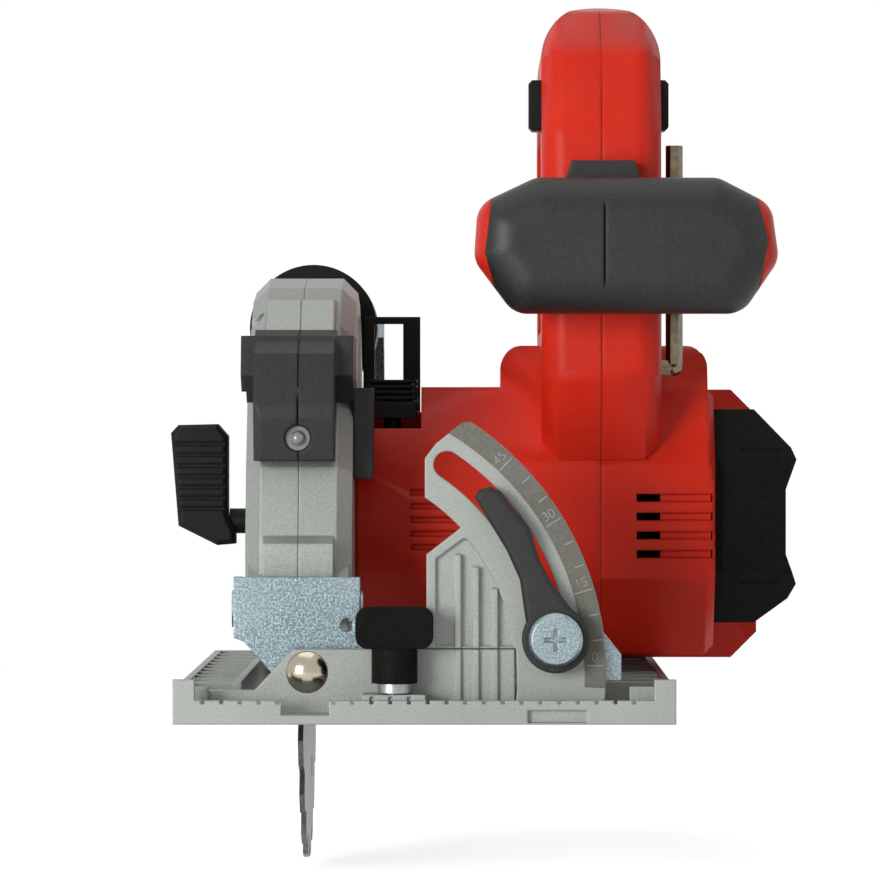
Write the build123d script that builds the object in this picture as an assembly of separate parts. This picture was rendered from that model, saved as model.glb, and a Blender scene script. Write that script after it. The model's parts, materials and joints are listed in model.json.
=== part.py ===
from build123d import *
import math
import os

# Frame: X to the motor side, Y to the rear, Z up; origin on the sole, millimetres.
shoe_w = 161.0
shoe_l = 300.0
plate_t = 3.0
rib_top = 11.4
rib_t = 2.4
lip_h = 7.7
lip_t = 3.0
post_h = 14.4
rib_pitch = 24.0
notch_pitch = 6.0
window = (-60.0, -5.0, -123.0, 118.0)

# Bevel axis runs along Y, depth axis along X.
bevel_x = -38.0
bevel_z = 16.0
depth_y = -117.0
depth_z = 36.0
run_fit = 0.06
gap = 0.3

wall_y = (-132.5, -128.0)
wall_top = 23.4
web_ribs = (10.7, 16.5, 22.6)
plate_y = (wall_y[1] + gap, wall_y[1] + gap + 3.0)
rivet_r = 4.0
quad_r = 96.5
quad_in = 68.0
slot_r = 80.8
slot_half = 4.4
bolt_ang = 7.7
bolt_r = 4.0

# Blade, arbor and gear train.
blade_x = -41.5
blade_y = -10.0
blade_z = 39.0
blade_r = 92.0
kerf = 1.8
teeth = 24
gear_r = 16.0
pinion_r = 5.0
motor_z = blade_z + gear_r + pinion_r
spindle_r = 5.0
shaft_r = 4.0

# Upper guard box.
guard_l = -59.0
guard_r = -24.0
guard_wall = 2.0
guard_bore = 97.0
low_out = 96.2
low_in = 94.4
low_x = (-52.0, -32.0)
lever_r = 56.0
lever_ang = 154.0
guard_close = 122.0

# Red housing.
seam_x = 58.5
shell_l = guard_r + gap
shell_end = 97.0
handle_x = (38.5, 78.5)
motor_bore = 38.0
bay = (0.0, 115.0, 30.0, 62.0, 14.0, 108.0)
battery = (5.0, 110.0, 62.5, 127.0, 20.0, 100.0)


def box(x0, x1, y0, y1, z0, z1):
    return Pos((x0 + x1) / 2, (y0 + y1) / 2, (z0 + z1) / 2) * Box(x1 - x0, y1 - y0, z1 - z0)


def cyl_x(x0, x1, y, z, r):
    return Pos((x0 + x1) / 2, y, z) * Rot(0, 90, 0) * Cylinder(r, x1 - x0)


def cyl_y(y0, y1, x, z, r):
    return Pos(x, (y0 + y1) / 2, z) * Rot(90, 0, 0) * Cylinder(r, y1 - y0)


def cyl_z(z0, z1, x, y, r):
    return Pos(x, y, (z0 + z1) / 2) * Cylinder(r, z1 - z0)


def prism_x(points, x0, x1):
    face = make_face(Polyline(*[(x0, y, z) for y, z in points], close=True))
    return extrude(face, amount=x1 - x0, dir=(1, 0, 0))


def prism_y(points, y0, y1):
    face = make_face(Polyline(*[(x, y0, z) for x, z in points], close=True))
    return extrude(face, amount=y1 - y0, dir=(0, 1, 0))


def polar(cy, cz, r, deg):
    a = math.radians(deg)
    return (cy + r * math.cos(a), cz + r * math.sin(a))


def wedge(cu, cv, r, a0, a1):
    steps = max(2, int(abs(a1 - a0) / 30) + 1)
    return [(cu, cv)] + [polar(cu, cv, r, a0 + (a1 - a0) * i / steps) for i in range(steps + 1)]


def ring_y(y0, y1, r_in, r_out, a0, a1):
    ring = cyl_y(y0, y1, bevel_x, bevel_z, r_out) - cyl_y(y0 - 1, y1 + 1, bevel_x, bevel_z, r_in)
    return ring & prism_y(wedge(bevel_x, bevel_z, 2 * r_out, a0, a1), y0, y1)


def ring_x(x0, x1, cy, cz, r_in, r_out, a0, a1):
    ring = cyl_x(x0, x1, cy, cz, r_out) - cyl_x(x0 - 1, x1 + 1, cy, cz, r_in)
    return ring & prism_x(wedge(cy, cz, 2 * r_out, a0, a1), x0, x1)


def bolt_at(deg, r=slot_r):
    return polar(bevel_x, bevel_z, r, deg)


def toothed(x0, x1, cy, cz, r_root, r_tip, count, land):
    pts = []
    for i in range(count):
        a = 360.0 * i / count
        p = 360.0 / count
        pts.append(polar(cy, cz, r_root, a))
        pts.append(polar(cy, cz, r_tip, a + p * (0.5 - land)))
        pts.append(polar(cy, cz, r_tip, a + p * 0.5))
        pts.append(polar(cy, cz, r_root, a + p * (0.5 + land)))
    return prism_x(pts, x0, x1)


def hexagon_x(x0, x1, y, z, flats):
    pts = [polar(y, z, flats / math.sqrt(3), 60 * i) for i in range(6)]
    return prism_x(pts, x0, x1)


def shoe():
    hw = shoe_w / 2
    hl = shoe_l / 2
    s = box(-hw, hw, -hl, hl, 0, plate_t)
    s -= box(window[0], window[1], window[2], window[3], -1, plate_t + 1)
    s += box(-hw, hw, -hl, -hl + lip_t, 0, lip_h)
    s += box(-hw, hw, hl - lip_t, hl, 0, rib_top)
    for side in (-1, 1):
        s += box(side * hw - 3.5 * (1 + side), side * hw + 3.5 * (1 - side), -hl, -hl + lip_t, 0, post_h)
        outer = side * (hw - rib_t / 2)
        s += box(outer - rib_t / 2, outer + rib_t / 2, -134, hl, plate_t, rib_top)
    s += box(-62.9, -62.9 + rib_t, -100, hl, plate_t, rib_top)
    s += box(45, 45 + rib_t, -121, hl, plate_t, rib_top)
    for i in range(11):
        y = -96 + rib_pitch * i
        s += box(-hw, -62.9 + rib_t, y - rib_t / 2, y + rib_t / 2, plate_t, rib_top)
        s += box(45, hw, y - rib_t / 2, y + rib_t / 2, plate_t, rib_top)
    s += box(-hw, -70, -134, -134 + rib_t, plate_t, rib_top)
    s += box(66, hw, -134, -134 + rib_t, plate_t, rib_top)
    front = [(-76, plate_t), (-76, 10.2), (-55, 10.2), (-42.5, wall_top), (29, wall_top), (29, plate_t)]
    s += prism_y(front, wall_y[0], wall_y[1])
    for x in web_ribs:
        s += box(x - 1, x + 1, wall_y[0] - 1.4, wall_y[0], plate_t, wall_top)
    for x in (-71.5, 63.0):
        s += box(x - 0.9, x + 0.9, -97, hl, plate_t, rib_top - 1)
    s += box(-50, -26, 131, 137, plate_t, 26)
    s += box(-20, 0.3, -hl + lip_t, wall_y[0], plate_t, 9.4)
    s -= box(-21, 1.5, -146.6, -134.9, plate_t, 6.0)
    s -= cyl_z(5, 10, -9.7, -140.7, 3 + run_fit)
    s -= cyl_y(wall_y[0] - 1, wall_y[1] + 1, bevel_x, bevel_z, rivet_r)
    s -= cyl_y(130, 138, bevel_x, bevel_z, rivet_r)
    s -= box(-45.8, -30.5, -hl - 1, -hl + lip_t + 1, plate_t, lip_h + 1)
    s -= box(33, 52, -hl - 1, -hl + 2, 0.6, 4.6)
    for i in range(24):
        x = -hw + 9 + notch_pitch * i
        s -= box(x, x + 1.2, -hl - 1, -hl + lip_t + 1, lip_h - 1.1, lip_h + 1)
    return s


def bevel_quadrant():
    y0, y1 = wall_y
    q = ring_y(y0, y1, quad_in, quad_r, -10, 57.8)
    lobe_x, lobe_z = bolt_at(57.8, 82.0)
    q += cyl_y(y0, y1, lobe_x, lobe_z, 13.5)
    web = [(30, plate_t), (29.4, wall_top + gap), (0.5, wall_top + gap), (0.5, 54)]
    web += [(12, 63), (22, 56), (33, 20)]
    q += prism_y(web, y0, y1)
    panel = [(34, wall_top + 1), (3.5, wall_top + 1), (3.5, 52.6), (12.4, 59.2), (22, 56), (33, 20)]
    q -= prism_y(panel, y0 - 1, y0 + 1.6) & cyl_y(y0 - 1, y0 + 1.6, bevel_x, bevel_z, quad_in - 0.8)
    for x, top in zip(web_ribs, (54, 50, 43)):
        q += box(x - 1, x + 1, y0 - 0.6, y0 + 1.6, wall_top + gap, top)
    slot = ring_y(y0 - 3, y1 + 3, slot_r - slot_half, slot_r + slot_half, 5.5, 56.0)
    for a in (5.5, 56.0):
        x, z = bolt_at(a)
        slot += cyl_y(y0 - 3, y1 + 3, x, z, slot_half)
    q -= slot
    return q & box(0, 70, -140, -100, plate_t, 120)


def bevel_scale():
    return ring_y(wall_y[0] - scale_t, wall_y[0], 89.6, 96.2, -3, 53)


def rivet(y_head, y_end):
    s = 1 if y_end > y_head else -1
    r = cyl_y(min(y_head, y_end), max(y_head, y_end), bevel_x, bevel_z, rivet_r)
    dome = Pos(bevel_x, y_head + s * 6.17, bevel_z) * Sphere(9.17)
    lo = min(y_head, y_head - s * 3)
    return r + (dome & cyl_y(lo, lo + 3, bevel_x, bevel_z, 7.0))


def fence_wing_knob():
    k = cyl_z(12.9, 24.0, -9.7, -140.7, 7.4)
    wing = box(-22.2, 2.8, -145.0, -136.4, 24.0, 37.4)
    wing = fillet(wing.edges().filter_by(Axis.Y), 4.0)
    k += wing
    return k - cyl_z(12, 26, -9.7, -140.7, 3.0)


def fence_clamp_screw():
    s = cyl_z(3.4, 26, -9.7, -140.7, 3.0)
    return s + cyl_z(9.7, 12.9, -9.7, -140.7, 5.75)


def bevel_bracket():
    y0, y1 = plate_y
    pts = [(-62, 46.5), (-62, 27), (-58.5, 25.6), (-49, 14.6), (-44, 9), (-32, 9)]
    pts += [(-27, 13), (63.5, 13), (63.5, 21.6)]
    pts += [(52, 36), (35, 36), (28, 28), (-21, 28), (-21, 46.5)]
    b = prism_y(pts, y0, y1)
    for x0, x1 in ((-62, guard_l - gap), (guard_r + gap, -21)):
        b += box(x0, x1, y1, depth_y, 28, 46.5)
        b += cyl_x(x0, x1, depth_y, 37.25, 9.25)
        b -= cyl_x(x0 - 1, x1 + 1, depth_y, depth_z, 4)
    b -= cyl_y(y0 - 1, y1 + 1, bevel_x, bevel_z, rivet_r + run_fit)
    b -= cyl_y(y0 - 1, y1 + 1, -25.2, 31.0, 2.2)
    bx, bz = bolt_at(bolt_ang)
    return b - cyl_y(y0 - 1, y1 + 1, bx, bz, bolt_r)


def depth_pivot_pin():
    p = cyl_x(-62, -21, depth_y, depth_z, 4)
    p += cyl_x(-62.8, -62, depth_y, depth_z, 6.0)
    return p + cyl_x(-21, -20.2, depth_y, depth_z, 6.0)


scale_t = 0.5
lever_y = (wall_y[0] - scale_t - gap - 7.2, wall_y[0] - scale_t - gap)


def bevel_bolt():
    bx, bz = bolt_at(bolt_ang)
    b = cyl_y(lever_y[0] - gap, plate_y[1], bx, bz, bolt_r)
    head = cyl_y(lever_y[0] - gap - 3.6, lever_y[0] - gap, bx, bz, 8.7)
    head = chamfer(head.edges().group_by(Axis.Y)[0], 1.0)
    y = lever_y[0] - gap - 4
    head -= box(bx - 3.6, bx + 3.6, y, y + 2.4, bz - 0.7, bz + 0.7)
    head -= box(bx - 0.7, bx + 0.7, y, y + 2.4, bz - 3.6, bz + 3.6)
    nut = cyl_y(plate_y[1], plate_y[1] + 5, bx, bz, 7.5)
    return b + head + nut


def bevel_lever():
    bx, bz = bolt_at(bolt_ang)
    y0, y1 = lever_y
    pts = [(bx - 9, bz + 2), (30.6, 46), (26.3, 55.6), (16.1, 72.4), (17.5, 75), (21, 76), (24, 74.6)]
    pts += [(33.8, 62.6), (37, 52.4), (40.8, 44.9), (bx + 6.5, bz + 8)]
    arm = prism_y(pts, y0, y1)
    arm = chamfer(arm.faces().sort_by(Axis.Y)[0].edges(), 1.2)
    arm += cyl_y(y0, y1, bx, bz, 10.8)
    return arm - cyl_y(y0 - 1, y1 + 1, bx, bz, bolt_r + run_fit)


arm_r = 246.0
arm_x = (-21.0, -17.0)


def depth_arm():
    a = ring_x(arm_x[0], arm_x[1], depth_y, depth_z, arm_r - 7, arm_r + 7, -5.5, 22.5)
    slot = ring_x(arm_x[0] - 1, arm_x[1] + 1, depth_y, depth_z, arm_r - 3.2, arm_r + 3.2, -0.2, 20.2)
    for ang in (-0.2, 20.2):
        y, z = polar(depth_y, depth_z, arm_r, ang)
        slot += cyl_x(arm_x[0] - 1, arm_x[1] + 1, y, z, 3.2)
    foot = box(-46, arm_x[1], 127.5, 130.7, 8.0, 27.5)
    foot -= cyl_y(126, 132, bevel_x, bevel_z, rivet_r + run_fit)
    return (a + foot) - slot


guard_shape = [(-112, 36), (-112, 58), (-106, 82), (-92, 108), (-66, 129), (-38, 142), (-10, 146)]
guard_shape += [(24, 142), (52, 130), (74, 110), (88, 84), (92, 60), (92, 36)]


def guard_outer(x0, x1, edge):
    g = prism_x(guard_shape, x0, x1)
    side = g.faces().sort_by(Axis.X)[edge]
    return chamfer([e for e in side.edges() if e.center().Z > 37], 5.0)


def nose(x0, x1):
    n = prism_x([(depth_y, 29.4), (depth_y, 43), (-108, 50), (-106, 34)], x0, x1)
    return n + cyl_x(x0, x1, depth_y, depth_z, 6.9)


guard_pad = [(-91, 110), (-87, 127), (-77, 137.4), (-48, 137.4), (-48, 118)]
pad_x = (-53.0, -30.5)


def steps(x0, x1):
    s = prism_x([(-115, 46), (-115, 57), (-110.5, 60.5), (-108, 46)], x0, x1)
    pad = prism_x(guard_pad, max(x0, pad_x[0]), min(x1, pad_x[1]))
    return s + pad - prism_x([(-94, 108), (-84, 108), (-84, 114), (-94, 114)], x0, x1)


def guard_cover():
    x1 = blade_x - 0.05
    g = guard_outer(guard_l, x1, 0) + nose(guard_l + 1, x1)
    g += steps(guard_l + 6, x1)
    g -= cyl_x(guard_l + guard_wall, x1 + 1, blade_y, blade_z, guard_bore)
    g -= cyl_x(guard_l - 1, x1, blade_y, blade_z, 34)
    low, high = lever_ang - guard_close - 9, lever_ang + 9
    arc = ring_x(guard_l - 1, x1, blade_y, blade_z, lever_r - 6, lever_r + 6, low, high)
    g -= arc
    g -= port_seat()
    for y, z in guard_screw_spots:
        g -= cyl_x(guard_l - 1, guard_l + 9, y, z, 3.3)
    return g - cyl_x(guard_l - 1, x1 + 1, depth_y, depth_z, 4 + run_fit)


guard_screw_spots = [polar(blade_y, blade_z, 101.2, a) for a in (28, 84, 116)]


def guard_screws():
    s = [cyl_x(guard_l + 4.5, guard_l + 9, y, z, 3.3) for y, z in guard_screw_spots]
    return Compound(children=s)


tail = [(60, 70), (92, 62), (129, 43), (136, 36), (129, 29), (90, 29), (60, 42)]


def guard_case():
    x0 = blade_x + 0.05
    g = guard_outer(x0, guard_r, -1) + nose(x0, guard_r - 1)
    g += steps(x0, guard_r - 6)
    g -= cyl_x(x0 - 1, guard_r - guard_wall, blade_y, blade_z, guard_bore)
    g += cyl_x(-35.6, guard_r, blade_y, blade_z, 21.8)
    g += cyl_x(guard_r - 1, -18, blade_y, blade_z, 17)
    g += prism_x(tail, guard_r - guard_wall, arm_x[0] - gap)
    g -= box(guard_r, arm_x[0], 40, 91, 0, 80)
    g -= cyl_x(-40, 0, blade_y, blade_z, 7)
    g -= cyl_x(-27, 0, blade_y, blade_z, 13)
    g -= port_seat()
    y, z = polar(depth_y, depth_z, arm_r, 0)
    g -= cyl_x(-40, 0, y, z, 3)
    return g - cyl_x(x0 - 1, guard_r + 1, depth_y, depth_z, 4 + run_fit)


port_z = 130.0
port_r = 22.75
port_neck = 17.0
port_bore = 19.0


def port_seat():
    return cyl_y(64, 100, blade_x, port_z, port_r) + cyl_y(40, 65, blade_x, port_z, port_neck)


def dust_port():
    p = cyl_y(64, 96, blade_x, port_z, port_r) + cyl_y(50, 64, blade_x, port_z, port_neck)
    p -= cyl_y(66, 97, blade_x, port_z, port_bore)
    p -= cyl_y(49, 67, blade_x, port_z, 14.5)
    return p - cyl_x(-80, 0, blade_y, blade_z, guard_bore)


def lower_guard():
    x0, x1 = low_x
    span = (-20, 140)
    g = ring_x(x0, x1, blade_y, blade_z, low_in, low_out, *span)
    g += ring_x(x0, x0 + 1.8, blade_y, blade_z, 47, low_out, *span)
    g += ring_x(x1 - 1.8, x1, blade_y, blade_z, 25, low_out, *span)
    g += cyl_x(x1 - 3.4, x1, blade_y, blade_z, 27)
    g += ring_x(x0, x0 + 1.8, blade_y, blade_z, 47, 66, 139, 164)
    return g - cyl_x(x1 - 6, x1 + 3, blade_y, blade_z, 21.8 + run_fit)


def lower_guard_lever():
    y, z = polar(blade_y, blade_z, lever_r, lever_ang)
    pts = [(-85.5, 93), (-83, 95.7), (-70, 96), (-66.5, 92), (-66.5, 66)]
    pts += [(-64, 60), (-64, 56), (-70, 55.5), (-83, 62)]
    p = prism_y(pts, y - 7, y + 7)
    p = chamfer(p.faces().sort_by(Axis.Y)[0].edges(), 1.5)
    for i in range(7):
        p -= box(-84, -67.5, y - 8, y - 6.3, 67 + 3.6 * i, 68.4 + 3.6 * i)
    return p + cyl_x(-66, low_x[0], y, z, 4.2)


def blade():
    b = toothed(blade_x - kerf / 2, blade_x + kerf / 2, blade_y, blade_z, blade_r - 7, blade_r, teeth, 0.42)
    for i in range(4):
        y, z = polar(blade_y, blade_z, 66, 90 * i + 20)
        b -= cyl_x(blade_x - 2, blade_x + 2, y, z, 4)
    return b - cyl_x(blade_x - 2, blade_x + 2, blade_y, blade_z, spindle_r)


def inner_flange():
    f = cyl_x(blade_x + kerf / 2, -36.2, blade_y, blade_z, 18)
    return f - cyl_x(-45, -30, blade_y, blade_z, spindle_r)


def outer_flange():
    f = cyl_x(-45.6, blade_x - kerf / 2, blade_y, blade_z, 17)
    return f - cyl_x(-47, -40, blade_y, blade_z, spindle_r)


def blade_bolt():
    b = hexagon_x(-51, -47.2, blade_y, blade_z, 13)
    return b + cyl_x(-47.2, -45.6, blade_y, blade_z, 9)


def spindle():
    return cyl_x(-45.6, 5.5, blade_y, blade_z, spindle_r)


def driven_gear():
    g = toothed(-14, -4, blade_y, blade_z, gear_r - 1.6, gear_r - 0.1, 32, 0.3)
    return g - cyl_x(-15, -3, blade_y, blade_z, spindle_r)


def pinion():
    p = toothed(-15, -3, blade_y, motor_z, pinion_r - 0.9, pinion_r - 0.1, 10, 0.3)
    return p - cyl_x(-16, -2, blade_y, motor_z, 3)


def spindle_bearings():
    a = cyl_x(-27, -19, blade_y, blade_z, 13) - cyl_x(-28, -18, blade_y, blade_z, spindle_r + run_fit)
    b = cyl_x(2.4, 6.4, blade_y, blade_z, 9) - cyl_x(2, 7, blade_y, blade_z, spindle_r + run_fit)
    return Compound(children=[a, b])


def gear_plate():
    p = cyl_x(2.4, 6.4, blade_y, motor_z, motor_bore)
    p -= cyl_x(2, 7, blade_y, blade_z, 9)
    return p - cyl_x(2, 7, blade_y, motor_z, 9)


def rotor_bearings():
    a = cyl_x(2.4, 6.4, blade_y, motor_z, 9) - cyl_x(2, 7, blade_y, motor_z, shaft_r + run_fit)
    b = cyl_x(97, 103, blade_y, motor_z, 10) - cyl_x(96, 104, blade_y, motor_z, shaft_r + run_fit)
    return Compound(children=[a, b])


def motor_shaft():
    return cyl_x(-2.4, 102.5, blade_y, motor_z, shaft_r) + cyl_x(-15, -2.4, blade_y, motor_z, 3)


def rotor_core():
    c = cyl_x(16, 62, blade_y, motor_z, 20)
    for i in range(10):
        y, z = polar(blade_y, motor_z, 19, 36 * i)
        c -= cyl_x(15, 63, y, z, 1.6)
    return c - cyl_x(15, 63, blade_y, motor_z, shaft_r)


def cooling_fan():
    f = cyl_x(72, 74, blade_y, motor_z, 31) + cyl_x(70, 82, blade_y, motor_z, 8)
    blank = box(74, 81, blade_y - 0.8, blade_y + 0.8, motor_z + 7, motor_z + 30.5)
    for i in range(12):
        f += Pos(0, blade_y, motor_z) * Rot(30 * i, 0, 0) * Pos(0, -blade_y, -motor_z) * blank
    return f - cyl_x(69, 83, blade_y, motor_z, shaft_r)


def stator():
    s = cyl_x(14, 64, blade_y, motor_z, motor_bore) - cyl_x(13, 65, blade_y, motor_z, 20.6)
    for i in range(6):
        y, z = polar(blade_y, motor_z, 24, 60 * i + 30)
        s -= cyl_x(13, 65, y, z, 5)
    return s


motor_shape = [(-58, 44), (-58, 82), (-40, 108.5), (22, 108.5), (38, 86), (38, 36), (20, 18), (-38, 18)]
handle_shape = [(-58, 84), (-74, 112), (-76, 150), (-72, 194), (-60, 222), (-38, 236), (-10, 239), (30, 234)]
handle_shape += [(70, 222), (90, 206), (94, 186), (86, 156), (80, 128), (70, 107), (40, 104), (20, 100)]
handle_hole = [(-40, 127), (-43, 160), (-37, 184), (-20, 199), (20, 202)]
handle_hole += [(56, 193), (63, 178), (54, 148), (44, 127)]
key_y = -45.0
key_z = 115.0
key_flats = 5.0
trigger_box = (50.0, 67.0, -26.5, 8.0)
trigger_pin = (-24.0, 204.0)
lock_box = (34.2, 81.2, -57.0, -45.0, 194.5, 211.5)
shell_screw_spots = [(-62, 132), (-50, 180), (70, 206), (78, 150)]


def handle_body():
    h = prism_x(handle_shape, *handle_x)
    hole = prism_x(handle_hole, handle_x[0] - 1, handle_x[1] + 1)
    ends = h.faces().sort_by(Axis.X)
    h = chamfer(list(ends[0].edges()) + list(ends[-1].edges()), 5.5)
    mid = (handle_x[0] + handle_x[1]) / 2
    arch = box(handle_x[0], handle_x[1], -100, 120, 60, 219) + cyl_y(-100, 120, mid, 219, 20)
    return (h & arch) - hole


def handle_cavity():
    face = make_face(Polyline(*[(handle_x[0] + 3.4, y, z) for y, z in handle_shape], close=True))
    face = offset(face, amount=-3.4, kind=Kind.INTERSECTION)
    c = extrude(face, amount=handle_x[1] - handle_x[0] - 6.8, dir=(1, 0, 0))
    hole = make_face(Polyline(*[(handle_x[0] + 3, y, z) for y, z in handle_hole], close=True))
    hole = offset(hole, amount=3.2, kind=Kind.INTERSECTION)
    c -= extrude(hole, amount=handle_x[1] - handle_x[0] - 6, dir=(1, 0, 0))
    return c & box(0, 120, -100, 120, 108, 228)


def housing():
    s = prism_x(motor_shape, shell_l, shell_end)
    ends = s.faces().sort_by(Axis.X)
    s = chamfer(ends[-1].edges(), 3.0)
    top = prism_x([(-58, 82), (-44, 100), (-34, 124), (24, 124), (36, 100), (36, 82)], 25, 95)
    s += top & prism_y([(25, 80), (25, 118), (29, 122.6), (91, 122.6), (95, 118), (95, 80)], -80, 60)
    b = box(*bay)
    b = chamfer(b.edges().filter_by(Axis.Y), 9.0)
    s += b
    s += handle_body()
    s -= box(shell_l - 1, -2, -70, 45, 94.5, 130)
    s -= cyl_x(shell_l + 3, shell_end + 1, blade_y, motor_z, motor_bore)
    s -= cyl_x(shell_l + 3, 2.4, blade_y, blade_z, 18)
    s -= cyl_x(shell_l - 1, shell_l + 4, blade_y, blade_z, 17 + gap)
    s -= box(bay[0] + 3, bay[1] - 3, 34, bay[3] - 3, bay[4] + 3, bay[5] - 3)
    s -= handle_cavity()
    s -= box(12, 103, 50, 70, 40, 80)
    s -= box(lock_box[0], lock_box[1], lock_box[2] - gap, lock_box[3] + gap, lock_box[4] - gap, lock_box[5] + gap)
    s -= box(trigger_box[0] - 0.5, trigger_box[1] + 0.5, trigger_box[2] - 1.5, trigger_box[3] + 2, 185, 215)
    s -= cyl_x(60, 84, key_y, key_z, key_flats / math.sqrt(3) + gap)
    s -= cyl_z(70, 96, -12, -28, 3 + run_fit)
    for i in range(5):
        z = 53.5 + 4.6 * i
        s -= box(-5.5, 10.5, -70, -30, z, z + 2)
    for i in range(4):
        z = 51 + 6.3 * i
        s -= box(70.5, 96, -70, -30, z, z + 2.6)
    s += bail_lug()
    for y, z in shell_screw_spots:
        s -= cyl_x(76, 80, y, z, 3.6)
    return s


bail_y = 30.0
bail_z = 101.5


def bail_lug():
    lug = box(-18.7, -9.3, bail_y - 5, bail_y + 5, 93.5, bail_z)
    lug += cyl_x(-18.7, -9.3, bail_y, bail_z, 5)
    return lug - cyl_x(-20, -8, bail_y, bail_z, 2 + run_fit)


def hanging_bail():
    b = box(-23, -19, bail_y - 2.5, bail_y + 2.5, bail_z, 133.5)
    b += box(-9, -3, bail_y - 2.5, bail_y + 2.5, bail_z, 133.5)
    b += box(-23, -3, bail_y - 2.5, bail_y + 2.5, 131, 133.5)
    b += cyl_x(-23, -19, bail_y, bail_z, 4.2) + cyl_x(-9, -3, bail_y, bail_z, 4.2)
    return b + cyl_x(-20, -8, bail_y, bail_z, 2)


def shell_screws():
    s = [cyl_x(76, 78.0, y, z, 3.6) for y, z in shell_screw_spots]
    return Compound(children=s)


def motor_end_cap():
    face = [(-50, 46), (-50, 84), (-34, 101), (14, 101), (29.6, 84), (29.6, 46), (14, 28.5), (-34, 28.5)]
    c = prism_x(face, shell_end, 126)
    side = [(97, 28.5), (97, 101), (111, 101), (123, 88), (124.6, 84), (121, 74), (121, 52)]
    side += [(124.6, 42), (122, 37), (111, 28.5)]
    c = c & prism_y(side, -60, 50)
    c -= cyl_x(shell_end - 1, 108, blade_y, motor_z, 29) - cyl_x(shell_end - 1, 108, blade_y, motor_z, 13)
    c -= cyl_x(shell_end - 6, 103, blade_y, motor_z, 10)
    c -= cyl_x(shell_end - 6, 104, blade_y, motor_z, shaft_r + 1)
    for z in (38.5, 86.5):
        c -= box(106, 119, -60, -46, z, z + 4.5)
    for i in range(7):
        y = -36 + 8.4 * i
        c -= box(118.6, 127, y, y + 3.4, 48, 78)
    return c


def front_grip_block():
    pts = [(17, 168), (15.8, 150), (29, 132.4), (104, 132.4), (116, 150), (113.5, 168), (96, 177), (36, 177)]
    g = prism_y(pts, -112, -76)
    g = fillet(g.edges().filter_by(Axis.Y), 9.0)
    g = fillet(g.faces().sort_by(Axis.Y)[0].edges(), 13.0)
    g = fillet(g.faces().sort_by(Axis.Y)[-1].edges(), 13.0)
    g += prism_y([(44, 170), (48, 183), (69, 183), (73, 170)], -92, -70)
    g += box(44, 73, -82, -70, 138, 172)
    g -= box(seam_x - 0.35, seam_x + 0.35, -113, -110.8, 130, 190)
    return g - handle_solid()


def handle_solid():
    return prism_x(handle_shape, handle_x[0] - 1, handle_x[1] + 1)


def grip_cuts():
    a = prism_y([(10, 180), (10, 130), (24, 136), (19.5, 152), (22, 172)], -120, -60)
    b = prism_y([(121, 180), (121, 130), (108, 136), (112.2, 156), (108, 172)], -120, -60)
    return a + b


def led_spot():
    return (-41.5, 91.5)


light_shape = [(-117, 84), (-121, 100), (-114, 119), (-98, 127), (-60, 127), (-60, 100), (-84, 84)]


def light_housing():
    h = prism_x(light_shape, -56.0, -29.6)
    h = chamfer(h.edges().group_by(Axis.Y)[0] + h.faces().sort_by(Axis.X)[0].edges().group_by(Axis.Y)[0], 2.0)
    ears = prism_x([(-108, 112), (-104, 125), (-60, 125), (-60, 100), (-90, 100)], -60.5, -23.7)
    h += ears + box(-30, -17.5, -92, -62, 78, 108)
    h -= prism_x(guard_shape, guard_l, guard_r)
    h -= prism_x(guard_pad, *pad_x)
    h -= box(-60.6, guard_l, -100, -50, 80, 112)
    h -= box(-41.8, -41.2, -130, -118.5, 80, 130)
    x, z = led_spot()
    return h - cyl_y(-130, -114, x, z, 4.25)


def led_lamp():
    x, z = led_spot()
    return cyl_y(-117.5, -114, x, z, 4.0) + (Pos(x, -117.5, z) * Sphere(2.5))


def spindle_lock_button():
    b = box(-20.5, -3.5, -40, -16, 97.8, 111)
    for i in range(4):
        b -= box(-21, -3, -41, -15, 103.5 + 1.9 * i, 104.3 + 1.9 * i)
    b += box(-19, -5, -38, -18, 98, 110.5)
    return b + cyl_z(84, 98, -12, -28, 3)


def trigger():
    pts = [(-26.5, 207), (-26, 190), (-20, 186), (2, 188), (8, 196), (8, 206)]
    t = prism_x(pts, trigger_box[0], trigger_box[1])
    return t + cyl_x(trigger_box[0], trigger_box[1], trigger_pin[0], trigger_pin[1], 3.0)


def lock_off_button():
    b = box(lock_box[0], lock_box[1], lock_box[2], lock_box[3], lock_box[4], lock_box[5])
    return chamfer(b.edges().filter_by(Axis.Y), 1.2)


def switch_body():
    return box(48, 69, -22, 16, 212.5, 228)


def control_board():
    return box(bay[0] + 3, bay[1] - 3, 46, 48, 30, 95)


def battery_terminal_block():
    return box(40, 80, 48, 62, 50, 70)


def hex_key():
    r = key_flats / math.sqrt(3)
    half = (190 - key_z) / 2
    up = Pos(83.5, key_y, key_z + half) * extrude(RegularPolygon(r, 6), amount=half, both=True)
    arm = hexagon_x(62, 83.5, key_y, key_z, key_flats)
    return up + arm + Pos(83.5, key_y, key_z) * Sphere(key_flats / 2 + 0.3)


def depth_clamp_bolt():
    y, z = polar(depth_y, depth_z, arm_r, 0)
    b = cyl_x(-30, -8.2, y, z, 3)
    return b + cyl_x(-30, -26, y, z, 6.5) + cyl_x(-8.2, -5, y, z, 6)


def depth_lever():
    y, z = polar(depth_y, depth_z, arm_r, 0)
    pts = [(y - 7, z), (y + 2, z + 42), (y + 6, z + 50), (y + 13, z + 48), (y + 11, z + 38), (y + 7, z)]
    arm = prism_x(pts, -14, -9) + cyl_x(arm_x[1] + gap, -8.5, y, z, 8.5)
    return arm - cyl_x(-18, -8, y, z, 3 + run_fit)


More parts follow.
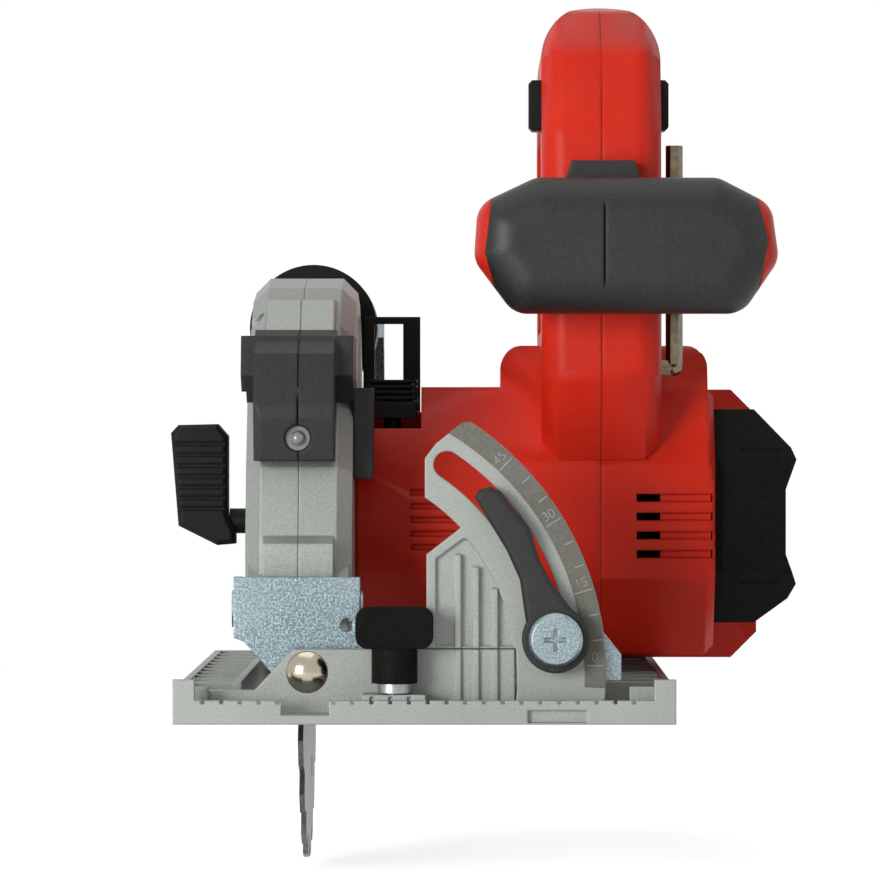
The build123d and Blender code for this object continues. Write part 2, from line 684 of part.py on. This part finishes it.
def battery_case():
    b = box(*battery)
    b = chamfer(b.edges().filter_by(Axis.X), 6.0)
    for i in range(4):
        z = 38 + 13 * i
        b -= box(battery[0] - 1, battery[1] + 1, battery[3] - 1.4, battery[3] + 1, z, z + 3)
    b -= box(79.7, 100.3, 84.7, 105.3, battery[5] - 5, battery[5] + 1)
    return b - box(battery[0] + 3, battery[1] - 3, battery[2] + 3, battery[3] - 3, battery[4] + 3, battery[5] - 8)


def battery_cells():
    cells = []
    for i in range(3):
        for j in range(2):
            cells.append(cyl_x(16, 86, 75.1 + 18.9 * i, 32.6 + 22 * j, 9.3))
    return Compound(children=cells)


def battery_latch():
    b = box(80, 100, 85, 105, battery[5] - 2, battery[5] + 3)
    return chamfer(b.faces().sort_by(Axis.Z)[-1].edges(), 1.0)


os.makedirs("parts", exist_ok=True)
whole = housing()
cut_l = box(-40, seam_x - 0.05, -200, 200, -10, 260)
cut_r = box(seam_x + 0.05, 200, -200, 200, -10, 260)
grip = front_grip_block()
pieces = {
    "shoe": shoe(),
    "bevel_quadrant": bevel_quadrant(),
    "bevel_scale": bevel_scale(),
    "front_pivot_rivet": rivet(wall_y[0], plate_y[1]),
    "rear_pivot_rivet": rivet(137.0, 127.5),
    "fence_wing_knob": fence_wing_knob(),
    "fence_clamp_screw": fence_clamp_screw(),
    "bevel_bracket": bevel_bracket(),
    "bevel_bolt": bevel_bolt(),
    "depth_arm": depth_arm(),
    "depth_pivot_pin": depth_pivot_pin(),
    "bevel_lever": bevel_lever(),
    "guard_cover": guard_cover(),
    "guard_case": guard_case(),
    "guard_screws": guard_screws(),
    "light_housing": light_housing(),
    "led_lamp": led_lamp(),
    "dust_port": dust_port(),
    "left_housing_shell": whole & cut_l,
    "right_housing_shell": whole & cut_r,
    "shell_screws": shell_screws(),
    "motor_end_cap": motor_end_cap(),
    "front_grip": grip - grip_cuts(),
    "grip_end_inserts": grip & grip_cuts(),
    "gear_plate": gear_plate(),
    "stator": stator(),
    "spindle_bearings": spindle_bearings(),
    "rotor_bearings": rotor_bearings(),
    "control_board": control_board(),
    "switch_body": switch_body(),
    "battery_terminal_block": battery_terminal_block(),
    "depth_clamp_bolt": depth_clamp_bolt(),
    "depth_lever": depth_lever(),
    "blade": blade(),
    "inner_flange": inner_flange(),
    "outer_flange": outer_flange(),
    "blade_bolt": blade_bolt(),
    "spindle": spindle(),
    "driven_gear": driven_gear(),
    "rotor_core": rotor_core(),
    "motor_shaft": motor_shaft(),
    "cooling_fan": cooling_fan(),
    "pinion": pinion(),
    "lower_guard": lower_guard(),
    "lower_guard_lever": lower_guard_lever(),
    "trigger": trigger(),
    "lock_off_button": lock_off_button(),
    "spindle_lock_button": spindle_lock_button(),
    "hanging_bail": hanging_bail(),
    "hex_key": hex_key(),
    "battery_case": battery_case(),
    "battery_cells": battery_cells(),
    "battery_latch": battery_latch(),
}
for name, shape in pieces.items():
    solids = shape.solids()
    print(name, len(solids), [round(s.volume) for s in solids][:6], shape.is_valid)
    export_step(shape, f"parts/{name}.step")
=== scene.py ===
import json
import math

import bmesh
import bpy
from mathutils import Matrix, Vector


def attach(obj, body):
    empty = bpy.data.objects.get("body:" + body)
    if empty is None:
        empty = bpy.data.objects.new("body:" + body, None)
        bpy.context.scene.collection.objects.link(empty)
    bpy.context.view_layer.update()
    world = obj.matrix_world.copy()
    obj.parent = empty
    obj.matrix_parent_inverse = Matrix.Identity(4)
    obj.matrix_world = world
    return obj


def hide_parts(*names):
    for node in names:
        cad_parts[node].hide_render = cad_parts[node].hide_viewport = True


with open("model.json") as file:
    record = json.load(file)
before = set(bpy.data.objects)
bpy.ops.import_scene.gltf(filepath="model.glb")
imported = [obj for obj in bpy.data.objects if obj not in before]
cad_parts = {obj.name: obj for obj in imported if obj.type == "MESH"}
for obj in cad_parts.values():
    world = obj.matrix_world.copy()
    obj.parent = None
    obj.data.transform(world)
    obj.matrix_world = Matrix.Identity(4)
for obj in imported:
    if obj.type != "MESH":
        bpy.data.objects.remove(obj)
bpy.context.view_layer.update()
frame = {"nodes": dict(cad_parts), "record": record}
nodes = frame["nodes"]
mm = 0.001
weldGap = 1e-6
print("saw frame loaded:", len(nodes), "solids")


# shader groups shared by several finishes

def newGroup(name, inputs, outputs):
    group = bpy.data.node_groups.new(name, "ShaderNodeTree")
    for label, value in inputs:
        socket = group.interface.new_socket(name=label, in_out="INPUT", socket_type="NodeSocketFloat")
        socket.default_value = value
    for label in outputs:
        group.interface.new_socket(name=label, in_out="OUTPUT", socket_type="NodeSocketFloat")
    start = group.nodes.new("NodeGroupInput")
    end = group.nodes.new("NodeGroupOutput")
    return group, start, end


def addNoise(tree, coords, scale, detail):
    noise = tree.nodes.new("ShaderNodeTexNoise")
    noise.inputs["Scale"].default_value = scale
    noise.inputs["Detail"].default_value = detail
    tree.links.new(coords, noise.inputs["Vector"])
    return noise.outputs["Fac"]


def addRange(tree, value, low, high, toLow, toHigh):
    node = tree.nodes.new("ShaderNodeMapRange")
    for label, amount in (("From Min", low), ("From Max", high), ("To Min", toLow), ("To Max", toHigh)):
        node.inputs[label].default_value = amount
    tree.links.new(value, node.inputs["Value"])
    return node.outputs["Result"]


grainNoise = {"fineScale": 2600.0, "fineDetail": 2.0, "slowScale": 18.0, "slowDetail": 3.0,
              "slowSpan": (0.3, 0.7), "speckScale": 900.0, "speckDetail": 1.0, "speckSpan": (0.42, 0.62)}


def makeSurfaceGrain():
    # fine moulded or blasted grain, with a slow drift of tone
    setting = grainNoise
    group, start, end = newGroup("surfaceGrain", [("Pitch", 1.0)], ["Height", "Drift", "Speckle"])
    coords = group.nodes.new("ShaderNodeTexCoord").outputs["Object"]
    stretch = group.nodes.new("ShaderNodeVectorMath")
    stretch.operation = "SCALE"
    group.links.new(coords, stretch.inputs[0])
    group.links.new(start.outputs["Pitch"], stretch.inputs["Scale"])
    stretched = stretch.outputs["Vector"]
    fine = addNoise(group, stretched, setting["fineScale"], setting["fineDetail"])
    slow = addNoise(group, coords, setting["slowScale"], setting["slowDetail"])
    speck = addNoise(group, stretched, setting["speckScale"], setting["speckDetail"])
    group.links.new(fine, end.inputs["Height"])
    group.links.new(addRange(group, slow, *setting["slowSpan"], 0.0, 1.0), end.inputs["Drift"])
    group.links.new(addRange(group, speck, *setting["speckSpan"], 0.0, 1.0), end.inputs["Speckle"])
    return group


dustNoise = {"scale": 46.0, "detail": 6.0, "span": (0.5, 0.78)}


def makeHandlingDust():
    # a thin film of dust in soft clouds
    setting = dustNoise
    group, start, end = newGroup("handlingDust", [("Amount", 0.1)], ["Mask"])
    coords = group.nodes.new("ShaderNodeTexCoord").outputs["Object"]
    cloud = addNoise(group, coords, setting["scale"], setting["detail"])
    mask = addRange(group, cloud, *setting["span"], 0.0, 1.0)
    weigh = group.nodes.new("ShaderNodeMath")
    weigh.operation = "MULTIPLY"
    group.links.new(mask, weigh.inputs[0])
    group.links.new(start.outputs["Amount"], weigh.inputs[1])
    group.links.new(weigh.outputs["Value"], end.inputs["Mask"])
    return group


surfaceGrain = makeSurfaceGrain()
handlingDust = makeHandlingDust()


# finishes

def mixColour(tree, factor, first, second):
    mix = tree.nodes.new("ShaderNodeMix")
    mix.data_type = "RGBA"
    tree.links.new(factor, mix.inputs["Factor"])
    for socket, colour in ((mix.inputs["A"], first), (mix.inputs["B"], second)):
        if isinstance(colour, tuple):
            socket.default_value = colour + (1.0,)
        else:
            tree.links.new(colour, socket)
    return mix.outputs["Result"]


# shared by every finish; bump depth in millimetres
surface = {"ior": 1.5, "smoother": 0.04, "rougher": 0.05, "coatRough": 0.2,
           "edgeSamples": 6, "bumpDepth": 0.2}


def finish(name, look):
    material = bpy.data.materials.new(name)
    material.use_nodes = True
    tree = material.node_tree
    shader = tree.nodes["Principled BSDF"]
    grain = tree.nodes.new("ShaderNodeGroup")
    grain.node_tree = surfaceGrain
    grain.inputs["Pitch"].default_value = look["pitch"]
    dust = tree.nodes.new("ShaderNodeGroup")
    dust.node_tree = handlingDust
    dust.inputs["Amount"].default_value = look["dust"]
    tone = mixColour(tree, grain.outputs["Drift"], look["dark"], look["light"])
    fleck = tree.nodes.new("ShaderNodeMath")
    fleck.operation = "MULTIPLY"
    fleck.inputs[1].default_value = look["speckle"]
    tree.links.new(grain.outputs["Speckle"], fleck.inputs[0])
    tone = mixColour(tree, fleck.outputs["Value"], tone, look["fleck"])
    tone = mixColour(tree, dust.outputs["Mask"], tone, look["dustTone"])
    tree.links.new(tone, shader.inputs["Base Color"])
    rough = addRange(tree, grain.outputs["Drift"], 0.0, 1.0,
                     look["rough"] - surface["smoother"], look["rough"] + surface["rougher"])
    tree.links.new(rough, shader.inputs["Roughness"])
    shader.inputs["Metallic"].default_value = look["metal"]
    shader.inputs["IOR"].default_value = surface["ior"]
    shader.inputs["Specular IOR Level"].default_value = look["shine"]
    if look["coat"] > 0:
        shader.inputs["Coat Weight"].default_value = look["coat"]
        shader.inputs["Coat Roughness"].default_value = surface["coatRough"]
    softEdge = tree.nodes.new("ShaderNodeBevel")
    softEdge.inputs["Radius"].default_value = look["edge"] * mm
    softEdge.samples = surface["edgeSamples"]
    bump = tree.nodes.new("ShaderNodeBump")
    bump.inputs["Strength"].default_value = look["bump"]
    bump.inputs["Distance"].default_value = surface["bumpDepth"] * mm
    tree.links.new(grain.outputs["Height"], bump.inputs["Height"])
    tree.links.new(softEdge.outputs["Normal"], bump.inputs["Normal"])
    tree.links.new(bump.outputs["Normal"], shader.inputs["Normal"])
    return material


redShell = {"dark": (0.57, 0.015, 0.004), "light": (0.67, 0.022, 0.006), "fleck": (0.72, 0.05, 0.02),
            "speckle": 0.10, "dustTone": (0.75, 0.2, 0.14), "dust": 0.03, "rough": 0.42, "metal": 0.0,
            "shine": 0.22, "coat": 0.0, "edge": 1.6, "bump": 0.10, "pitch": 0.8}
blackMoulding = {"dark": (0.0035, 0.0037, 0.003), "light": (0.006, 0.0062, 0.0053),
                 "fleck": (0.02, 0.02, 0.019), "speckle": 0.16, "dustTone": (0.05, 0.05, 0.048),
                 "dust": 0.06, "rough": 0.42, "metal": 0.0, "shine": 0.12, "coat": 0.0, "edge": 1.0,
                 "bump": 0.22, "pitch": 0.9}
gripRubber = {"dark": (0.009, 0.0095, 0.009), "light": (0.014, 0.0145, 0.0135), "fleck": (0.04, 0.04, 0.038),
              "speckle": 0.2, "dustTone": (0.06, 0.06, 0.06), "dust": 0.05, "rough": 0.46, "metal": 0.0,
              "shine": 0.32, "coat": 0.0, "edge": 1.5, "bump": 0.35, "pitch": 0.9}
castAlloy = {"dark": (0.245, 0.26, 0.24), "light": (0.295, 0.312, 0.29), "fleck": (0.43, 0.45, 0.42),
             "speckle": 0.35, "dustTone": (0.27, 0.28, 0.265), "dust": 0.10, "rough": 0.44, "metal": 0.45,
             "shine": 0.4, "coat": 0.0, "edge": 0.8, "bump": 0.28, "pitch": 2.4}
zincPlate = {"dark": (0.11, 0.155, 0.175), "light": (0.20, 0.26, 0.28), "fleck": (0.36, 0.43, 0.45),
             "speckle": 0.7, "dustTone": (0.3, 0.36, 0.38), "dust": 0.05, "rough": 0.28, "metal": 0.95,
             "shine": 0.5, "coat": 0.0, "edge": 0.6, "bump": 0.35, "pitch": 1.6}
warmNickel = {"dark": (0.40, 0.36, 0.28), "light": (0.52, 0.47, 0.38), "fleck": (0.62, 0.57, 0.47),
              "speckle": 0.1, "dustTone": (0.46, 0.42, 0.36), "dust": 0.06, "rough": 0.20, "metal": 1.0,
              "shine": 0.5, "coat": 0.0, "edge": 0.5, "bump": 0.04, "pitch": 0.6}
turnedSteel = {"dark": (0.26, 0.265, 0.27), "light": (0.35, 0.355, 0.36), "fleck": (0.46, 0.465, 0.47),
               "speckle": 0.3, "dustTone": (0.27, 0.27, 0.27), "dust": 0.12, "rough": 0.34, "metal": 0.95,
               "shine": 0.5, "coat": 0.0, "edge": 0.4, "bump": 0.12, "pitch": 0.8}
scaleBand = {"dark": (0.105, 0.102, 0.084), "light": (0.14, 0.136, 0.112), "fleck": (0.21, 0.205, 0.175),
             "speckle": 0.3, "dustTone": (0.3, 0.3, 0.28), "dust": 0.15, "rough": 0.48, "metal": 0.2,
             "shine": 0.3, "coat": 0.0, "edge": 0.2, "bump": 0.2, "pitch": 1.0}
lampLens = {"dark": (0.16, 0.165, 0.17), "light": (0.22, 0.225, 0.23), "fleck": (0.4, 0.41, 0.42),
            "speckle": 0.1, "dustTone": (0.5, 0.5, 0.5), "dust": 0.03, "rough": 0.12, "metal": 0.0,
            "shine": 0.5, "coat": 0.6, "edge": 0.2, "bump": 0.02, "pitch": 0.6}
laminatedCore = {"dark": (0.10, 0.09, 0.08), "light": (0.16, 0.14, 0.12), "fleck": (0.3, 0.18, 0.1),
                 "speckle": 0.3, "dustTone": (0.2, 0.2, 0.2), "dust": 0.1, "rough": 0.45, "metal": 0.7,
                 "shine": 0.4, "coat": 0.0, "edge": 0.3, "bump": 0.2, "pitch": 0.6}
coatedBoard = {"dark": (0.02, 0.12, 0.06), "light": (0.03, 0.17, 0.09), "fleck": (0.5, 0.45, 0.3),
               "speckle": 0.15, "dustTone": (0.2, 0.2, 0.2), "dust": 0.05, "rough": 0.35, "metal": 0.0,
               "shine": 0.5, "coat": 0.3, "edge": 0.2, "bump": 0.1, "pitch": 0.4}
bladeSteel = {"dark": (0.06, 0.06, 0.062), "light": (0.11, 0.11, 0.113), "fleck": (0.22, 0.22, 0.22),
              "speckle": 0.3, "dustTone": (0.18, 0.16, 0.13), "dust": 0.2, "rough": 0.38, "metal": 0.85,
              "shine": 0.5, "coat": 0.0, "edge": 0.2, "bump": 0.15, "pitch": 0.7}

finishes = {
    "red_plastic": finish("redShell", redShell),
    "black_plastic": finish("blackMoulding", blackMoulding),
    "black_rubber": finish("gripRubber", gripRubber),
    "cast_alloy": finish("castAlloy", castAlloy),
    "zinc_plate": finish("zincPlate", zincPlate),
    "nickel": finish("warmNickel", warmNickel),
    "steel": finish("turnedSteel", turnedSteel),
    "scale_band": finish("scaleBand", scaleBand),
    "lamp_lens": finish("lampLens", lampLens),
    "dark_core": finish("laminatedCore", laminatedCore),
    "board": finish("coatedBoard", coatedBoard),
    "blade_steel": finish("bladeSteel", bladeSteel),
}
satinBlack = finish("satinBlack", dict(gripRubber, rough=0.5, bump=0.5))
deepBlack = finish("deepBlack", dict(blackMoulding, rough=0.55, shine=0.05, dust=0.03))
oiledKey = finish("oiledKey", dict(warmNickel, dark=(0.13, 0.105, 0.065), light=(0.20, 0.165, 0.11),
                                   rough=0.26))
ownFinishes = {"bevel_lever": satinBlack, "light_housing": satinBlack, "motor_end_cap": deepBlack,
               "fence_wing_knob": deepBlack, "hex_key": oiledKey}
for entry in frame["record"]["subparts"]:
    mesh = nodes[entry["node"]].data
    mesh.materials.clear()
    mesh.materials.append(ownFinishes.get(entry["node"], finishes[entry["material_slot"]]))
print("finishes set:", len(finishes))


# pieces made here; their settings are in millimetres and degrees

def keepPiece(name, mesh, slotName, body):
    mesh.materials.append(finishes[slotName])
    piece = bpy.data.objects.new(name, mesh)
    bpy.context.scene.collection.objects.link(piece)
    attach(piece, body)
    return piece


def bmeshPiece(name, bm, slotName, body):
    bmesh.ops.remove_doubles(bm, verts=bm.verts, dist=weldGap)
    bmesh.ops.recalc_face_normals(bm, faces=bm.faces)
    mesh = bpy.data.meshes.new(name)
    bm.to_mesh(mesh)
    bm.free()
    return keepPiece(name, mesh, slotName, body)


def nodeBmesh(nodeName):
    bm = bmesh.new()
    bm.from_mesh(nodes[nodeName].data)
    bmesh.ops.remove_doubles(bm, verts=bm.verts, dist=weldGap)
    return bm


def addBlock(bm, low, high, turn=None):
    # a box between two corners, turned about its own centre if asked
    made = bmesh.ops.create_cube(bm, size=1.0)["verts"]
    size = Vector(high) - Vector(low)
    centre = (Vector(high) + Vector(low)) / 2
    place = Matrix.Translation(centre * mm)
    if turn is not None:
        place = place @ turn
    place = place @ Matrix.Diagonal((size.x * mm, size.y * mm, size.z * mm, 1.0))
    bmesh.ops.transform(bm, matrix=place, verts=made)


bevelScale = {"pivotX": -38.0, "pivotZ": 16.0, "inner": 89.6, "outer": 96.2, "face": -133.0, "back": -132.4,
              "offset": 1.3, "bandEnd": 53.0, "endSweep": 11.0, "endSteps": 16,
              "tickCount": 10, "tickStep": 5, "majorEvery": 3, "major": 6.0, "minor": 3.4,
              "lineWidth": 0.5, "lineInset": 0.3, "lineSink": 0.2,
              "textSize": 4.4, "textLift": 0.55, "proud": 0.12, "marks": (0, 15, 30, 45)}


def scalePoint(radius, degrees):
    turn = math.radians(degrees)
    return (bevelScale["pivotX"] + radius * math.cos(turn), bevelScale["pivotZ"] + radius * math.sin(turn))


def buildScaleTicks():
    setting = bevelScale
    bm = bmesh.new()
    halfWidth = setting["lineWidth"] / 2
    front, back = setting["face"] - setting["proud"], setting["face"] + setting["lineSink"]
    for step in range(setting["tickCount"]):
        angle = setting["tickStep"] * step + setting["offset"]
        length = setting["minor"] if step % setting["majorEvery"] else setting["major"]
        half = length / 2
        x, z = scalePoint(setting["outer"] - setting["lineInset"] - half, angle)
        turn = Matrix.Rotation(-math.radians(angle), 4, "Y")
        addBlock(bm, (x - half, front, z - halfWidth), (x + half, back, z + halfWidth), turn)
    bmeshPiece("scaleTicks", bm, "cast_alloy", "shoe_body")


def buildScaleNumbers():
    # each number stands on its long line, reading outwards
    setting = bevelScale
    middle = (setting["inner"] + setting["outer"]) / 2
    stand = Matrix.Rotation(math.radians(90), 4, "X")
    for mark in setting["marks"]:
        curve = bpy.data.curves.new("scaleNumber", "FONT")
        curve.body = str(mark)
        curve.size = setting["textSize"] * mm
        curve.extrude = setting["proud"] * mm
        curve.align_x = "CENTER"
        curve.align_y = "BOTTOM"
        holder = bpy.data.objects.new("scaleNumberCurve", curve)
        mesh = bpy.data.meshes.new_from_object(holder)
        angle = mark + setting["offset"]
        x, z = scalePoint(middle, angle + math.degrees(setting["textLift"] / middle))
        lean = Matrix.Rotation(-math.radians(angle), 4, "Y")
        mesh.transform(Matrix.Translation((x * mm, setting["face"] * mm, z * mm)) @ lean @ stand)
        bpy.data.objects.remove(holder)
        bpy.data.curves.remove(curve)
        keepPiece("scaleNumber%d" % mark, mesh, "cast_alloy", "shoe_body")


buildScaleTicks()
buildScaleNumbers()
print("scale marks set")


quadrantTip = {"edgeX": 6.2, "edgeZ": 93.3, "edgeAngle": 143.0, "tipX": 14.0, "tipZ": 91.8, "tipRadius": 5.0,
               "turns": (72.0, 86.0, 100.0, 115.0, 129.0), "onPlane": 1e-7}


def trimPlane(bm, x, z, degrees):
    turn = math.radians(degrees)
    parts = list(bm.verts) + list(bm.edges) + list(bm.faces)
    made = bmesh.ops.bisect_plane(bm, geom=parts, dist=quadrantTip["onPlane"],
                                  plane_co=(x * mm, 0.0, z * mm),
                                  plane_no=(math.cos(turn), 0.0, math.sin(turn)), clear_outer=True)
    rim = [part for part in made["geom_cut"] if isinstance(part, bmesh.types.BMEdge)]
    if rim:
        bmesh.ops.edgeloop_fill(bm, edges=rim)


def trimTip(bm):
    # one cut along the end, then short cuts around its corner
    setting = quadrantTip
    trimPlane(bm, setting["edgeX"], setting["edgeZ"], setting["edgeAngle"])
    for degrees in setting["turns"]:
        turn = math.radians(degrees)
        x = setting["tipX"] + setting["tipRadius"] * math.cos(turn)
        z = setting["tipZ"] + setting["tipRadius"] * math.sin(turn)
        trimPlane(bm, x, z, degrees)
    bmesh.ops.triangulate(bm, faces=bm.faces)


def buildQuadrantTip():
    # the quadrant with its rounded upper end
    bm = nodeBmesh("bevel_quadrant")
    trimTip(bm)
    piece = bmeshPiece("bevelQuadrantRounded", bm, "cast_alloy", "shoe_body")
    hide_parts("bevel_quadrant")


def buildScaleEnd():
    # the dark band carried on past the last mark to the quadrant's end
    setting = bevelScale
    bm = bmesh.new()
    corners = []
    for radius, y in (("inner", "face"), ("outer", "face"), ("outer", "back"), ("inner", "back")):
        x, z = scalePoint(setting[radius], setting["bandEnd"])
        corners.append(bm.verts.new((x * mm, setting[y] * mm, z * mm)))
    start = bm.faces.new(corners)
    pivot = (setting["pivotX"] * mm, 0.0, setting["pivotZ"] * mm)
    bmesh.ops.spin(bm, geom=[start] + list(start.edges) + corners, cent=pivot, axis=(0.0, -1.0, 0.0),
                   angle=math.radians(setting["endSweep"]), steps=setting["endSteps"])
    trimTip(bm)
    bmeshPiece("scaleBandEnd", bm, "scale_band", "shoe_body")


buildQuadrantTip()
buildScaleEnd()
print("quadrant end rounded")


ventFloors = {"front": -56.7, "back": -55.4,
              "left": {"fromX": -5.7, "toX": 10.7, "lowest": 53.4, "pitch": 4.6, "height": 2.2, "count": 5},
              "right": {"fromX": 78.4, "toX": 95.5, "lowest": 50.9, "pitch": 6.3, "height": 2.8, "count": 4}}


def buildVentFloors():
    # moulded floors that close part of the vents on either side
    setting = ventFloors
    bm = bmesh.new()
    for bank in (setting["left"], setting["right"]):
        for step in range(bank["count"]):
            low = bank["lowest"] + bank["pitch"] * step
            addBlock(bm, (bank["fromX"], setting["front"], low),
                     (bank["toX"], setting["back"], low + bank["height"]))
    bmeshPiece("ventFloors", bm, "red_plastic", "saw_body")


lampSeam = {"x": -41.5, "width": 0.6, "proud": 0.06,
            "above": ((-118.05, 108.0), (-114.0, 119.0), (-98.0, 127.0)),
            "below": ((-117.0, 84.0), (-117.85, 87.4))}


def buildLampSeam():
    # the parting line down the front of the lamp housing
    setting = lampSeam
    bm = bmesh.new()
    half = setting["width"] / 2
    for line in (setting["above"], setting["below"]):
        for (y0, z0), (y1, z1) in zip(line, line[1:]):
            length = math.hypot(y1 - y0, z1 - z0)
            y, z = (y0 + y1) / 2, (z0 + z1) / 2
            turn = Matrix.Rotation(math.atan2(z1 - z0, y1 - y0), 4, "X")
            addBlock(bm, (setting["x"] - half, y - length / 2, z - setting["proud"]),
                     (setting["x"] + half, y + length / 2, z + setting["proud"]), turn)
    bmeshPiece("lampHousingSeam", bm, "black_plastic", "saw_body")


buttonRib = {"low": (-19.0, -10.0, 94.3), "high": (-2.2, -6.0, 100.5), "round": 1.2, "segments": 3,
             "roundAbove": 95.3}


def buildButtonRib():
    # upright rib of the left shell behind the lock button
    setting = buttonRib
    bm = bmesh.new()
    addBlock(bm, setting["low"], setting["high"])
    top = [edge for edge in bm.edges if min(vert.co.z for vert in edge.verts) > setting["roundAbove"] * mm]
    bmesh.ops.bevel(bm, geom=top, offset=setting["round"] * mm, segments=setting["segments"], profile=0.5,
                    affect="EDGES", material=-1)
    bmeshPiece("lockButtonRib", bm, "red_plastic", "saw_body")


buildVentFloors()
buildLampSeam()
buildButtonRib()
print("vent floors, lamp seam and button rib set")


roundedShell = {"radius": 2.6, "segments": 3, "above": 112.0, "shortest": 10.0, "flattest": 8.0,
                "steepest": 70.0, "flatBelow": 0.6, "smoothBelow": 32.0,
                "pocketEdge": (-61.1, 205.5), "pocketReach": 2.0}


def roundedEdges(bm):
    # the long edges of the arch handle, not the seam, small cuts or the edge at the button's pocket
    setting = roundedShell
    picked = []
    for edge in bm.edges:
        if len(edge.link_faces) != 2 or edge.calc_length() < setting["shortest"] * mm:
            continue
        middle = (edge.verts[0].co + edge.verts[1].co) / 2
        angle = math.degrees(edge.calc_face_angle_signed(0.0))
        if math.dist((middle.y / mm, middle.z / mm), setting["pocketEdge"]) < setting["pocketReach"]:
            continue
        if middle.z > setting["above"] * mm and setting["flattest"] < angle < setting["steepest"]:
            picked.append(edge)
    return picked


def buildRoundedShell(nodeName, pieceName):
    setting = roundedShell
    bm = nodeBmesh(nodeName)
    bmesh.ops.dissolve_limit(bm, angle_limit=math.radians(setting["flatBelow"]), verts=bm.verts,
                             edges=bm.edges)
    bmesh.ops.bevel(bm, geom=roundedEdges(bm), offset=setting["radius"] * mm, segments=setting["segments"],
                    profile=0.5, affect="EDGES", material=-1)
    bmesh.ops.triangulate(bm, faces=bm.faces)
    piece = bmeshPiece(pieceName, bm, "red_plastic", "saw_body")
    piece.data.shade_smooth()
    piece.data.set_sharp_from_angle(angle=math.radians(setting["smoothBelow"]))
    flats = piece.modifiers.new("flatFaces", "WEIGHTED_NORMAL")
    flats.keep_sharp = True
    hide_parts(nodeName)


buildRoundedShell("left_housing_shell", "leftShellRounded")
buildRoundedShell("right_housing_shell", "rightShellRounded")
print("housing shells rounded")


# stage, light and camera, in metres and watts

studio = {"floorDrop": -0.056, "floorSize": 1.5, "floorTone": 0.9, "floorRough": 0.9, "floorLift": 0.74,
          "white": (1.0, 1.0, 1.0, 1.0), "ambient": 0.16, "backdrop": 1.0}
softboxes = {
    "leftSoftbox": {"place": (-0.95, -1.5, 0.22), "aim": (0.0, 0.0, 0.09), "size": (0.7, 0.8), "power": 27.0},
    "rightSoftbox": {"place": (1.2, -0.6, 0.6), "aim": (0.03, 0.0, 0.09), "size": (0.6, 0.8), "power": 1.6},
    "topSoftbox": {"place": (-0.1, -0.25, 1.3), "aim": (0.0, 0.0, 0.1), "size": (1.1, 0.9), "power": 3.4},
}
photoView = {"sensor": 36.0, "lens": 230.5, "clipEnd": 50.0,
             "place": (0.0155, -1.95, 0.0984), "aim": (0.0041, 0.0, 0.0904)}


def seenRays(tree):
    # rays that see the pale background, which doesn't light the saw
    path = tree.nodes.new("ShaderNodeLightPath")
    seen = path.outputs["Is Camera Ray"]
    for ray in ("Is Glossy Ray", "Is Transmission Ray"):
        either = tree.nodes.new("ShaderNodeMath")
        either.operation = "MAXIMUM"
        tree.links.new(seen, either.inputs[0])
        tree.links.new(path.outputs[ray], either.inputs[1])
        seen = either.outputs["Value"]
    return seen


def buildStage():
    bm = bmesh.new()
    bmesh.ops.create_grid(bm, x_segments=1, y_segments=1, size=studio["floorSize"])
    bmesh.ops.translate(bm, vec=(0.0, 0.0, studio["floorDrop"]), verts=bm.verts)
    mesh = bpy.data.meshes.new("floor")
    bm.to_mesh(mesh)
    bm.free()
    paint = bpy.data.materials.new("floorPaper")
    paint.use_nodes = True
    tree = paint.node_tree
    shader = tree.nodes["Principled BSDF"]
    tone = studio["floorTone"]
    shader.inputs["Base Color"].default_value = (tone, tone, tone, 1.0)
    shader.inputs["Roughness"].default_value = studio["floorRough"]
    shader.inputs["Emission Color"].default_value = studio["white"]
    lift = addRange(tree, seenRays(tree), 0.0, 1.0, 0.0, studio["floorLift"])
    tree.links.new(lift, shader.inputs["Emission Strength"])
    mesh.materials.append(paint)
    floor = bpy.data.objects.new("floor", mesh)
    bpy.context.scene.collection.objects.link(floor)


def buildWorld():
    world = bpy.data.worlds.new("studio")
    bpy.context.scene.world = world
    world.use_nodes = True
    tree = world.node_tree
    sky = tree.nodes["Background"]
    sky.inputs["Color"].default_value = studio["white"]
    level = addRange(tree, seenRays(tree), 0.0, 1.0, studio["ambient"], studio["backdrop"])
    tree.links.new(level, sky.inputs["Strength"])


def aimObject(name, data, setting):
    holder = bpy.data.objects.new(name, data)
    holder.location = setting["place"]
    sight = Vector(setting["aim"]) - Vector(setting["place"])
    holder.rotation_euler = sight.to_track_quat("-Z", "Y").to_euler()
    bpy.context.scene.collection.objects.link(holder)
    return holder


def addLamp(name, setting):
    lamp = bpy.data.lights.new(name, "AREA")
    lamp.shape = "RECTANGLE"
    lamp.size, lamp.size_y = setting["size"]
    lamp.energy = setting["power"]
    aimObject(name, lamp, setting)


def buildCamera():
    view = bpy.data.cameras.new("photoView")
    view.sensor_width = photoView["sensor"]
    view.lens = photoView["lens"]
    view.clip_end = photoView["clipEnd"]
    bpy.context.scene.camera = aimObject("photoView", view, photoView)


buildStage()
buildWorld()
for name, setting in softboxes.items():
    addLamp(name, setting)
buildCamera()
bpy.context.scene.view_settings.view_transform = "Standard"
print("stage, lamps and camera set")
